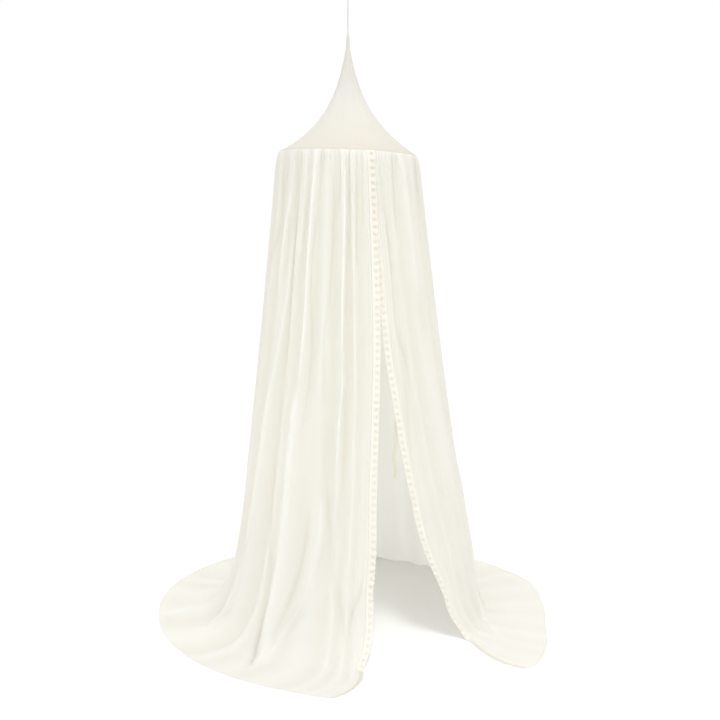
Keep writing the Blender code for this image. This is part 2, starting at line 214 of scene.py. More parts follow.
# Mottle of the paint: its scale, the roughness at its two ends, its height in the bump
HOOP_MOTTLE = 60.0
HOOP_ROUGHNESS = (0.25, 0.50)
HOOP_RELIEF = 0.0002


def hoop_material():
    """White paint, a little uneven in colour and gloss."""
    material, shader, _, place = start_material("white_painted_tube")
    mottle = place.node("ShaderNodeTexNoise",
                        {"Vector": place, "Scale": HOOP_MOTTLE, "Detail": 3.0})
    tree = material.node_tree
    tree.links.new(mottle.mixed(HOOP_SHADE, HOOP_COLOR).socket, shader.inputs["Base Color"])
    gloss = mottle * (HOOP_ROUGHNESS[1] - HOOP_ROUGHNESS[0]) + HOOP_ROUGHNESS[0]
    tree.links.new(gloss.socket, shader.inputs["Roughness"])
    bump = mottle.node("ShaderNodeBump",
                       {"Height": mottle, "Distance": HOOP_RELIEF, "Strength": 0.3})
    tree.links.new(bump.socket, shader.inputs["Normal"])
    return material


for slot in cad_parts["hoop"].material_slots:
    slot.material = hoop_material()


# Crown. One piece of soft cotton, cut as a curved flare and sewn into a cone with its
# seam at the back; it wraps over the hoop and ends in a narrow sleeve round the cord.
# Wrap over the hoop: first and last angle above the tube's outside, distance from its middle
WRAP_START = 2.0
CROWN_WRAP = 60.0
CROWN_OFFSET = 0.0045
# Cone above the wrap, of radius base * exp(-rise / fall) - taper * rise, then the sleeve
CONE_RISE = 0.380
CROWN_FALL = 0.150
CROWN_TAPER = 0.036
CROWN_TOP = 2.144
SLEEVE_TOP_RADIUS = 0.0043
# Grid: rows of the three parts, how the cone's rows close up downwards, columns
WRAP_ROWS = 7
CONE_ROWS = 73
SLEEVE_ROWS = 7
CONE_CROWDING = 1.15
CROWN_COLUMNS = 180
# Soft pulls down from the sleeve: number, depth, radius below which they fade
CROWN_PULLS = 7
CROWN_PULL_DEPTH = 0.0011
PULL_FADE = 0.03
# Colours of the cloth and its threads, their factors for the painted shade low on the crown, and
# the share of the cone, up from the seam, over which that painted shade fades out
CROWN_COLOR = (0.752, 0.733, 0.684)
CROWN_THREAD = (0.723, 0.701, 0.643)
CROWN_PAINTED_SHADE = (0.87, 0.85, 0.81)
CROWN_SHADE_SHARE = 0.42
# Weave: pitch of the threads, height of the crinkles, share of the light let through
CROWN_WEAVE = (0.0007, 0.0008, 0.38)
# Shared with the other cloths: thickness of a thin sheet, scales of the slubs across and
# along a thread, of the crinkles on each axis, height of the weave, finish of the surface
THIN_CLOTH = 0.0008
SLUB_SCALE = (900.0, 45.0)
CRINKLE_SCALE = (30.0, 30.0, 4.0)
WEAVE_RELIEF = 0.00012
CLOTH_FINISH = {
    "Roughness": 0.92,
    "Specular IOR Level": 0.15,
    "Sheen Weight": 0.15,
    "Sheen Roughness": 0.6,
}


def tilt(x):
    """Rise of the hoop's tilted plane above its middle, lower at the right."""
    return -math.tan(math.radians(HOOP_TILT)) * x


def grid_quads(rows, columns, closed=False):
    """Corners of a grid's quads, row by row; a closed grid joins its last column to its first."""
    spans = columns if closed else columns - 1
    row, column = np.meshgrid(np.arange(rows - 1), np.arange(spans), indexing="ij")
    after = (column + 1) % columns
    corners = [row * columns + column, row * columns + after,
               (row + 1) * columns + after, (row + 1) * columns + column]
    return np.stack(corners, axis=-1).reshape(-1, 4)


def add_cloth(name, points, quads, material, thickness, flat, shade_and_tone=None):
    """Make a sheet of the given thickness from points in heights above the floor.

    flat holds each point's place in the flat cloth, in metres, for the UV map, and the last
    argument its share of the full colour, from 0 to 1: painted shade and light on the crown and
    drape, from 0 in a valley to 1 on a ridge, and the lace's darker net round its eyelets.
    """
    mesh = bpy.data.meshes.new(name)
    places = points.reshape(-1, 3) + [0.0, 0.0, floor_z]
    mesh.from_pydata(places.tolist(), [], quads.tolist())
    layer = mesh.uv_layers.new(name="flat_cloth")
    layer.data.foreach_set("uv", flat.reshape(-1, 2)[quads.ravel()].ravel())
    depth = mesh.attributes.new("shade_and_tone", "FLOAT", "POINT")
    depth.data.foreach_set("value", np.ones(len(places)) if shade_and_tone is None else shade_and_tone.ravel())
    mesh.shade_smooth()
    mesh.materials.append(material)
    piece = bpy.data.objects.new(name, mesh)
    bpy.context.collection.objects.link(piece)
    solid = piece.modifiers.new("Thickness", "SOLIDIFY")
    solid.thickness = thickness
    solid.offset = 0.0
    return piece


def cloth_material(name, color, thread, shade_and_tone_factor, pitch, crinkle, sheer):
    """Woven cotton: crossing threads, slubs, soft crinkles, and light that comes through.

    The weave is the product of two sine waves of the flat cloth's place. The slubs
    and the crinkles are noise, stretched along the threads and down the cloth. Where a
    point's share of full colour is low its colours are multiplied by the factors given third:
    painted shade on the crown and drape, and the darker net round the lace's eyelets. pitch
    is that of the threads, crinkle the crinkles' height and sheer the share of light let through.
    """
    material, shader, output, place = start_material(name)
    tree = material.node_tree
    flat = place.node("ShaderNodeUVMap", {}, uv_map="flat_cloth")
    apart = flat.node("ShaderNodeSeparateXYZ", {0: flat})
    across = apart * (math.pi / pitch)
    down = Value(tree, apart.socket.node.outputs[1]) * (math.pi / pitch)
    weave = across.math("SINE", across) * down.math("SINE", down)

    def noise(source, scale):
        """Noise of a place whose three axes have scales of their own."""
        drawn = source.node("ShaderNodeMapping", {"Vector": source, "Scale": scale})
        return drawn.node("ShaderNodeTexNoise", {"Vector": drawn, "Scale": 1.0, "Detail": 2.0})

    slubs = noise(flat, (*SLUB_SCALE, 1.0)) + noise(flat, (*SLUB_SCALE[::-1], 1.0))
    crinkles = noise(place, CRINKLE_SCALE)
    # Share of the full colour: painted shade and light on crown and drape, darker net on the lace
    shade_and_tone = place.node("ShaderNodeAttribute", {}, output=2, attribute_name="shade_and_tone")
    shade_and_tone_color = tuple(c * p for c, p in zip(color, shade_and_tone_factor))
    shade_and_tone_thread = tuple(t * p for t, p in zip(thread, shade_and_tone_factor))
    tint = slubs * 0.5
    tone = place.node("ShaderNodeMix", {0: shade_and_tone, 6: tint.mixed(shade_and_tone_thread, shade_and_tone_color),
                                        7: tint.mixed(thread, color)}, output=2, data_type="RGBA")
    tree.links.new(tone.socket, shader.inputs["Base Color"])
    for finish, value in CLOTH_FINISH.items():
        shader.inputs[finish].default_value = value
    fine = weave.node("ShaderNodeBump",
                      {"Height": weave + slubs, "Distance": WEAVE_RELIEF, "Strength": 0.5})
    bump = crinkles.node("ShaderNodeBump", {"Height": crinkles, "Distance": crinkle,
                                            "Strength": 1.0, "Normal": fine})
    tree.links.new(bump.socket, shader.inputs["Normal"])
    glow = place.node("ShaderNodeBsdfTranslucent", {"Color": (*color, 1.0), "Normal": bump})
    woven = Value(tree, shader.outputs[0])
    cloth = glow.node("ShaderNodeMixShader", {0: sheer, 1: woven, 2: glow})
    tree.links.new(cloth.socket, output.inputs["Surface"])
    return material


def crown_grid():
    """Points of the crown, their places in the flat cloth, and their painted shade.

    The rows go from the seam on the hoop to the top of the sleeve. Over the hoop they
    follow a part of a circle. The colour is painted darker towards the seam, as painted
    shade on the lower crown.
    """
    angles = np.radians(np.linspace(WRAP_START, CROWN_WRAP, WRAP_ROWS))
    wrap_radius = HOOP_RADIUS + CROWN_OFFSET * np.cos(angles)
    wrap_height = HOOP_HEIGHT + CROWN_OFFSET * np.sin(angles)
    rise = CONE_RISE * np.linspace(0.0, 1.0, CONE_ROWS)[1:] ** CONE_CROWDING
    cone_radius = wrap_radius[-1] * np.exp(-rise / CROWN_FALL) - CROWN_TAPER * rise
    sleeve = np.linspace(0.0, 1.0, SLEEVE_ROWS)[1:]
    sleeve_radius = cone_radius[-1] + sleeve * (SLEEVE_TOP_RADIUS - cone_radius[-1])
    sleeve_height = wrap_height[-1] + CONE_RISE
    sleeve_height = sleeve_height + sleeve * (CROWN_TOP - sleeve_height)
    radius = np.concatenate([wrap_radius, cone_radius, sleeve_radius])[:, None]
    height = np.concatenate([wrap_height, wrap_height[-1] + rise, sleeve_height])[:, None]
    turn = 2 * math.pi * np.arange(CROWN_COLUMNS) / CROWN_COLUMNS
    part = np.clip((height - wrap_height[-1]) / CONE_RISE, 0.0, 1.0)
    pulls = np.cos(CROWN_PULLS * turn + 1.3 * np.sin(2 * turn)) + 0.5 * np.cos(3 * turn + 0.8)
    pulled = CROWN_PULL_DEPTH * pulls * np.sin(math.pi * part)
    out = radius + pulled * np.minimum(1.0, radius / PULL_FADE)
    x, y = out * np.sin(turn), -out * np.cos(turn)
    tilted = np.minimum(1.0, radius / wrap_radius[-1]) ** 2
    along = np.cumsum(np.hypot(np.diff(radius, axis=0, prepend=radius[:1]),
                               np.diff(height, axis=0, prepend=height[:1])), axis=0)
    flat = np.stack(np.broadcast_arrays(turn * HOOP_RADIUS, along), axis=-1)
    # Painted shade: darker over the wrap and low on the cone, fading out upwards
    shade_and_tone = np.broadcast_to(np.clip(part / CROWN_SHADE_SHARE, 0.0, 1.0), out.shape)
    return np.stack([x, y, height + tilt(x) * tilted], axis=-1), flat, shade_and_tone


crown_cloth = cloth_material("soft_crown_cotton", CROWN_COLOR, CROWN_THREAD, CROWN_PAINTED_SHADE,
                             *CROWN_WEAVE)
crown_points, crown_flat, crown_painted_shade = crown_grid()
crown = add_cloth("crown_cloth", crown_points, grid_quads(*crown_points.shape[:2], closed=True),
                  crown_cloth, THIN_CLOTH, crown_flat, crown_painted_shade)
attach(crown, "root")
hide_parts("crown")


# Drape. Sheer ivory cotton voile, cut in widening lengths, gathered onto the seam at the
# hoop, open at the front, with a long train on the floor and a narrow turned hem.
# Wall: its puff over the hoop and the drop in which that grows, slope and curve of its
# outline, and how far its middle leans to the right
PUFF = 0.0065
PUFF_DROP = 0.030
WALL_SLOPE = 0.105
WALL_CURVE = 0.016
WALL_LEAN = 0.0125
LEAN_POWER = 1.3
# Flare from the wall onto the floor: azimuth where it is largest, its height and reach with
# what each changes round the cloth, and the handles of its curve as shares of the two
FLARE_TURN = -70.0
FLARE_START = 0.20
FLARE_START_SWING = 0.11
FLARE_REACH = 0.075
FLARE_REACH_SWING = 0.060
FLARE_FALL_HANDLE = 0.55
FLARE_FLOOR_HANDLE = 0.75
# Top of the cloth, its distance from the hoop's middle line, last level row of the wall
SEAM_TOP = 1.7182
SEAM_OFFSET = 0.0053
WALL_FOOT = 0.340
# Edges of the opening, at the lace's free sides: height, azimuth of the left one and of
# the right one. Near the seam the left lace lies over the right.
EDGES = (
    (1.716, 21.0, 14.8),
    (1.450, 20.6, 17.5),
    (1.174, 19.3, 19.6),
    (1.000, 17.8, 21.3),
    (0.860, 16.0, 23.9),
    (0.700, 13.9, 26.6),
    (0.530, 12.0, 30.0),
    (0.330, 10.4, 35.3),
    (0.200, 8.6, 43.6),
    (0.080, 6.4, 48.9),
    (0.000, 3.3, 49.5),
)
# Train: azimuths of the two edges at the hem, how far they bow, and the angle in which
# the left edge's shift dies away
HEM_LEFT = -2.8
HEM_RIGHT = 46.4
TRAIN_BOW = 2.2
TRAIN_BOW_RIGHT = -3.0
HEM_PULL_REACH = 50.0
# Hem on the floor, from the left edge round the back to the right one: azimuth, radius
HEM = (
    (0.0, 0.766),
    (-17.0, 0.735),
    (-47.0, 0.719),
    (-79.0, 0.727),
    (-110.0, 0.753),
    (-150.0, 0.745),
    (-200.0, 0.752),
    (-240.0, 0.764),
    (-251.0, 0.782),
    (-268.0, 0.760),
    (-289.0, 0.763),
    (-299.0, 0.797),
    (-306.0, 0.816),
    (-311.0, 0.824),
    (-313.6, 0.808),
)
# Valleys between the main folds: azimuth at the hoop, azimuth at the foot, depth
LEFT_FOLDS = (
    (9.0, -2.0, 0.007),
    (1.5, -7.0, 0.010),
    (-8.5, -13.0, 0.010),
    (-20.0, -28.0, 0.009),
    (-31.0, -42.0, 0.008),
    (-41.0, -50.0, 0.016),
    (-57.0, -76.0, 0.012),
    (-73.0, -93.0, 0.009),
)
RIGHT_FOLDS = (
    (-280.0, -264.0, 0.008),
    (-296.0, -277.0, 0.008),
    (-310.0, -289.0, 0.007),
    (-322.0, -298.0, 0.007),
    (-332.0, -304.0, 0.006),
)
# Valleys at the back: number, mean depth, unevenness of their places and of their depths
BACK_FOLDS = 12
BACK_FOLD_DEPTH = 0.010
BACK_FOLD_SWAY = 0.22
BACK_DEPTH_SWAY = 0.3
# Power of the drop by which valleys turn to their azimuths at the foot, drop in which they
# grow, share of their depth that the folds rise from the floor, and how that fades outwards
FOLD_PROGRESS = 1.8
FOLD_GROWTH = 0.06
HUMP_SHARE = 0.8
HUMP_FADE = 1.5
# Creases: rise, half width, fade at the ends, path of azimuths and levels. A
# level is the height above the floor, or on the train minus the distance past the foot.
CREASES = (
    # valleys on the wall from left to right, then one beside each outline
    (-0.0045, 0.0065, 0.12, ((-63, 1.80), (-61, 1.62), (-59, 1.50), (-61, 1.43), (-68, 1.31),
                             (-72, 1.15))),
    (-0.0040, 0.0055, 0.08, ((-47, 1.55), (-47, 1.35), (-49, 1.22))),
    (-0.0105, 0.0062, 0.14, ((-38, 1.80), (-38, 1.62), (-40.5, 1.41), (-41, 1.20), (-41, 1.09),
                             (-42, 0.88))),
    (-0.0028, 0.0045, 0.10, ((-29, 1.80), (-28, 1.59), (-31, 1.50), (-33, 1.36))),
    (-0.0034, 0.0046, 0.14, ((-21, 1.56), (-25, 1.28), (-23, 1.04), (-26, 0.81),
                             (-28, 0.68))),
    (-0.0034, 0.0046, 0.14, ((-9, 1.62), (-10, 1.44), (-12, 1.22), (-15, 1.07),
                             (-13, 0.80))),
    (-0.0035, 0.0035, 0.06, ((-5, 1.80), (-5, 1.68), (-6, 1.49))),
    (-0.0020, 0.0042, 0.14, ((1, 1.66), (1, 1.60), (0.4, 1.41), (-2, 1.19), (-3, 0.90))),
    (-0.0050, 0.0045, 0.12, ((7, 1.80), (6, 1.41), (5, 1.26))),
    (-0.0030, 0.0040, 0.12, ((12, 1.80), (10, 1.38))),
    (-0.0035, 0.0048, 0.14, ((26, 1.80), (25.4, 1.59), (28.4, 1.43), (29.4, 1.24), (31, 1.07),
                             (35, 1.00), (36, 0.86))),
    (-0.0022, 0.0035, 0.06, ((33, 1.80), (32, 1.65), (33, 1.56))),
    (-0.0060, 0.0045, 0.10, ((37, 1.80), (36, 1.61), (36, 1.40))),
    (-0.0070, 0.016, 0.14, ((-68, 1.66), (-72, 1.45), (-75, 1.20), (-75, 0.95))),
    (-0.0060, 0.014, 0.14, ((66, 1.72), (72, 1.50), (75, 1.30), (76, 1.08))),
    # ridges on the wall, from left to right
    (0.0065, 0.008, 0.10, ((-44, 1.80), (-47, 1.51), (-50, 1.40), (-52, 1.20))),
    (0.0055, 0.006, 0.10, ((-32, 1.80), (-33, 1.50), (-35, 1.30))),
    (0.0080, 0.009, 0.12, ((-41, 1.48), (-46, 1.12), (-52, 0.85))),
    (0.0085, 0.008, 0.12, ((-23, 1.80), (-25, 1.58), (-27, 1.35), (-28, 1.10), (-31, 0.86))),
    (0.0035, 0.018, 0.14, ((-17, 1.72), (-17, 1.33), (-16, 1.07), (-18, 0.94), (-23, 0.72),
                           (-24, 0.52))),
    (0.0075, 0.006, 0.12, ((-2, 1.80), (-2, 1.52), (-4, 1.13), (-4, 0.91), (-6, 0.80),
                           (-8, 0.57))),
    (0.0040, 0.005, 0.14, ((3, 1.80), (3, 1.19), (3, 0.82))),
    (0.0085, 0.018, 0.14, ((45, 1.80), (48, 1.58), (50, 1.41), (51, 1.15))),
    # lower folds, down onto the floor
    (-0.0060, 0.012, 0.16, ((-45, 0.66), (-45, 0.50), (-42, 0.296), (-41, 0.159), (-40, 0.066),
                            (-37.4, 0.016), (-34.2, -0.005), (-31, -0.05))),
    (-0.0080, 0.007, 0.05, ((-41, 0.12), (-40, 0.066), (-37.4, 0.016), (-34.2, -0.005),
                            (-32.3, -0.05))),
    (0.0130, 0.010, 0.12, ((-51.5, 0.95), (-56.5, 0.63), (-60, 0.42), (-62.6, 0.325),
                           (-66, 0.206), (-66.9, 0.095), (-66.4, 0.055), (-66.7, 0.0))),
    (-0.0090, 0.009, 0.06, ((-72, 0.20), (-71.5, 0.10), (-70.5, 0.05), (-70, -0.01))),
    (0.0140, 0.015, 0.16, ((-31, 0.95), (-34, 0.65), (-35, 0.45), (-36, 0.30), (-37.5, 0.17),
                           (-37, 0.06), (-32, 0.0), (-31, -0.05))),
    (0.0060, 0.006, 0.05, ((-54, 0.14), (-60, 0.08), (-64, 0.03), (-67, -0.02))),
    (-0.0060, 0.010, 0.10, ((-21, 0.50), (-23, 0.36), (-26, 0.25), (-29, 0.17), (-32, 0.07),
                            (-33, 0.0))),
    (0.0090, 0.009, 0.08, ((-14, 0.55), (-17, 0.33), (-23.5, 0.14), (-27.5, 0.09), (-30, 0.03),
                           (-31, -0.02))),
    (-0.0035, 0.011, 0.14, ((-13, 0.85), (-13.7, 0.63), (-11.4, 0.465), (-8.6, 0.265),
                            (-5.2, 0.135), (-2.8, 0.04), (-2.0, -0.02))),
    (-0.0038, 0.009, 0.14, ((-3, 0.95), (-4, 0.62), (-6, 0.50), (-8, 0.40), (-8.6, 0.28))),
    (-0.0045, 0.007, 0.08, ((4.5, 0.30), (3.4, 0.23), (-1.0, 0.14), (-3.0, 0.05))),
    (-0.0050, 0.010, 0.16, ((33, 1.00), (33, 0.88), (32, 0.62), (35, 0.445), (41, 0.26),
                            (48, 0.10))),
    (0.0060, 0.030, 0.25, ((50, 1.20), (54.6, 0.92), (64, 0.40))),
    (0.0080, 0.016, 0.10, ((84, 0.60), (84, 0.20), (78, 0.06), (72, 0.0), (64, -0.05),
                           (60, -0.12))),
    (0.0040, 0.012, 0.03, ((-86, -0.02), (-84, -0.06), (-80, -0.10))),
)
# Drop under the seam in which the creases and the fold beside the lace grow. From the
# cloth's two edges the creases and the gathers grow over a third of a fold.
SEAM_HOLD = 0.030
EDGE_GROWTH = 3
# Fine gathers under the seam: pitch round the hoop, depth, how far down they reach, and
# the drop in which they grow
GATHER_PITCH = 0.0125
GATHER_DEPTH = 0.0032
GATHER_REACH = 0.09
GATHER_START = 0.008
# Fold beside the lace, where the cloth's edge is turned under: distance, half width, rise
TURNED_PLACE = 0.0065
TURNED_HALF = 0.0016
TURNED_RISE = 0.0013
# Painted light and shade in the cloth's colours, as a share of the full colour: value
# on the high wall and, painted lighter, on the train, height from which the first passes
# into the second, painted light added under the seam and how far down that reaches. A
# fold adds its rise over the depth that makes the full difference, painting shade in
# valleys and light on ridges; the main folds count by a share of theirs, from a middle
# between valley and ridge.
PAINTED_LIGHT_WALL = 0.36
PAINTED_LIGHT_TRAIN = 0.66
PAINTED_LIGHT_RISE = 0.95
PAINTED_LIGHT_SEAM = 0.65
PAINTED_LIGHT_SEAM_REACH = 0.08
PAINTED_SHADE_DEPTH = 0.0125
PAINTED_SHADE_FOLD = 0.35
PAINTED_SHADE_MIDDLE = 0.6
# Kinds of rows from the seam to the hem, and their numbers; how the wall's rows close up
# towards the seam and the train's towards the hem; columns in a fold at front and back
WALL, BLEND, FLARE, TRAIN = range(4)
WALL_ROWS = 47
BLEND_ROWS = 6
FLARE_ROWS = 19
TRAIN_ROWS = 27
WALL_CROWDING = 1.9
TRAIN_CROWDING = 1.5
FRONT_STEPS = 22
BACK_STEPS = 15
# Turned hem: width, rise and the width of its step, and reach of the painted shade line at its
# edge
HEM_TURN = 0.012
HEM_STEP = 0.0006
HEM_STEP_WIDTH = 0.002
HEM_SHADE_LINE = 0.0022
# Colours of the voile and its threads, and the factors by which they are darkened as painted shade
DRAPE_COLOR = (0.948, 0.943, 0.914)
DRAPE_THREAD = (0.936, 0.927, 0.895)
DRAPE_PAINTED_SHADE = (0.84, 0.815, 0.765)
DRAPE_WEAVE = (0.0006, 0.0004, 0.66)
DRAPE_FLAT = (4.10, 2.02)
LACE_WIDTH = 0.025


def wall_radius(height):
    """Radius over the ridges of the folds, at a height on the wall."""
    drop = HOOP_HEIGHT - height
    return (HOOP_RADIUS + SEAM_OFFSET + PUFF * (1 - np.exp(-drop / PUFF_DROP))
            + WALL_SLOPE * drop + WALL_CURVE * drop ** 2)


def lean(height):
    """Shift of the wall's middle to the right at a height."""
    return WALL_LEAN * np.maximum(HOOP_HEIGHT - height, 0.0) ** LEAN_POWER


def flare_start(azimuth):
    """Height at which the flare leaves the wall, highest at the left front."""
    return FLARE_START + FLARE_START_SWING * np.cos(np.radians(azimuth - FLARE_TURN))


def wall_rows(azimuth, height):
    """Radius, height, outward normal and side shift of the plain wall."""
    drop = HOOP_HEIGHT - height
    slope = PUFF / PUFF_DROP * np.exp(-drop / PUFF_DROP) + WALL_SLOPE + 2 * WALL_CURVE * drop
    radius = wall_radius(height)
    rise = tilt(radius * np.sin(np.radians(azimuth))) * (height / HOOP_HEIGHT) ** 2
    length = np.hypot(1.0, slope)
    return radius, height + rise, 1 / length, slope / length, lean(height)


def flare_rows(azimuth, part):
    """The same for the flare, a cubic Bezier curve, at a part from 0 at the wall to 1."""
    start = flare_start(azimuth)
    reach = FLARE_REACH + FLARE_REACH_SWING * np.cos(np.radians(azimuth - FLARE_TURN))
    slope = WALL_SLOPE + 2 * WALL_CURVE * (HOOP_HEIGHT - start)
    foot = wall_radius(0.0) + reach
    handle = start * FLARE_FALL_HANDLE
    radii = (wall_radius(start), wall_radius(start) + slope * handle,
             foot - reach * FLARE_FLOOR_HANDLE, foot)
    floor_height = np.zeros_like(start)
    heights = (start, start - handle, floor_height, floor_height)
    weights = ((1 - part) ** 3, 3 * part * (1 - part) ** 2, 3 * part ** 2 * (1 - part), part ** 3)
    pulls = ((1 - part) ** 2, 2 * part * (1 - part), part ** 2)
    radius = sum(w * r for w, r in zip(weights, radii))
    height = sum(w * h for w, h in zip(weights, heights))
    along = sum(p * (b - a) for p, a, b in zip(pulls, radii, radii[1:]))
    down = sum(p * (b - a) for p, a, b in zip(pulls, heights, heights[1:]))
    length = np.hypot(along, down)
    return radius, height, -down / length, along / length, lean(height)


def fold_table():
    """Azimuths at hoop and foot, and depths, of all valleys in their order round the cloth.

    Those at the back come in between, with two slow waves to make them uneven.
    """
    left, right = LEFT_FOLDS[-1], RIGHT_FOLDS[0]
    steps = np.arange(1, BACK_FOLDS + 1)
    parts = (steps + BACK_FOLD_SWAY * np.sin(2.4 * steps)) / (BACK_FOLDS + 1)
    depths = BACK_FOLD_DEPTH * (1 + BACK_DEPTH_SWAY * np.cos(1.9 * steps))
    back = np.stack([left[0] + parts * (right[0] - left[0]),
                     left[1] + parts * (right[1] - left[1]), depths], axis=-1)
    return np.concatenate([LEFT_FOLDS, back, RIGHT_FOLDS]).T


def drape_rows():
    """Kind, place and nominal height of every row.

    A place is the height on the wall, and a part from 0 to 1 in the other kinds. The
    blend joins the wall's level rows to the flare, which starts at an uneven height.
    """
    wall = np.linspace(0.0, 1.0, WALL_ROWS) ** WALL_CROWDING
    wall = SEAM_TOP - (SEAM_TOP - WALL_FOOT) * wall
    blend = np.linspace(0.0, 1.0, BLEND_ROWS)[1:]
    flare = np.linspace(0.0, 1.0, FLARE_ROWS)[1:]
    train = 1 - (1 - np.linspace(0.0, 1.0, TRAIN_ROWS)[1:]) ** TRAIN_CROWDING
    counts = [len(wall), len(blend), len(flare), len(train)]
    kinds = np.repeat([WALL, BLEND, FLARE, TRAIN], counts)
    places = np.concatenate([wall, blend, flare, train])
    nominal = np.concatenate([wall, WALL_FOOT + blend * (FLARE_START - WALL_FOOT),
                              FLARE_START * (1 - flare) ** 2 * (1 + 2 * flare), 0.0 * train])
    return kinds, places, nominal


def floor_share(kinds, places):
    """Share of each row that belongs to the floor, from 0 on the wall to 1 on the train."""
    return np.where(kinds == TRAIN, 1.0, np.where(kinds == FLARE, places, 0.0))[:, None]


def free_edges(kinds, places, nominal):
    """Azimuths of the lace's two free edges in each row."""
    heights, lefts, rights = np.array(EDGES).T
    left, right = smooth(nominal, heights, lefts), smooth(nominal, heights, rights) - 360.0
    part = np.where(kinds == TRAIN, places, 0.0)
    bow = 4 * part * (1 - part)
    left += part * (HEM_LEFT - left) + TRAIN_BOW * bow
    right += part * (HEM_RIGHT - 360.0 - right) + TRAIN_BOW_RIGHT * bow
    return left, right


def surface(kinds, places, azimuth):
    """Radius, height, normal, side shift and level of the plain cloth, row by row."""
    hem_azimuths, hem_radii = np.array(HEM).T
    kind, place = kinds[:, None], places[:, None]
    blended = WALL_FOOT + place * (flare_start(azimuth) - WALL_FOOT)
    wall = wall_rows(azimuth, np.where(kind == BLEND, blended, place))
    flare = flare_rows(azimuth, np.where(kind == TRAIN, 1.0, np.clip(place, 0.0, 1.0)))
    radius, height, out, up, shift = (np.where(kind >= FLARE, b, a) for a, b in zip(wall, flare))
    part = np.where(kind == TRAIN, place, 0.0)
    reach = part * (smooth(azimuth, hem_azimuths, hem_radii) - radius)
    return radius + reach, height, out, up, shift * (1 - part), height - reach


def fade(level, low, high, length):
    """Share from 0 to 1 of a crease between its two ends, rising softly from each."""
    inner = np.clip(np.minimum(level - low, high - level) / length, 0.0, 1.0)
    return inner ** 2 * (3 - 2 * inner)


def crease_rise(azimuth, radius, level):
    """Sum of the creases: each is rise * exp(-(distance across its path / half width) ** 2)."""
    total = np.zeros_like(radius)
    for rise, half_width, length, path in CREASES:
        azimuths, levels = np.array(path, float).T
        apart = (azimuth - smooth(level, levels, azimuths) + 180.0) % 360.0 - 180.0
        distance = np.radians(apart) * radius
        profile = rise * np.exp(-(distance / half_width) ** 2)
        total += profile * fade(level, levels.min(), levels.max(), length)
    return total


def gather_rise(around, drop):
    """Fine gathers: two waves round the hoop, each place fading down a length of its own.

    The bare numbers only make the pitch, the depth and the length uneven.
    """
    turn = 2 * math.pi * around / GATHER_PITCH
    sway = 1.4 * np.sin(turn / 5.3) + 0.9 * np.sin(turn / 2.9 + 1.0)
    length = GATHER_REACH * (1.0 + 0.75 * np.sin(turn / 3.7 + 0.6) * np.sin(turn / 11.0))
    wave = np.sin(turn + sway) + 0.45 * np.sin(1.83 * turn - 0.7 * sway)
    return (GATHER_DEPTH * (wave * 0.7 - 0.3) * (1 - np.exp(-drop / GATHER_START))
            * np.exp(-drop / length))


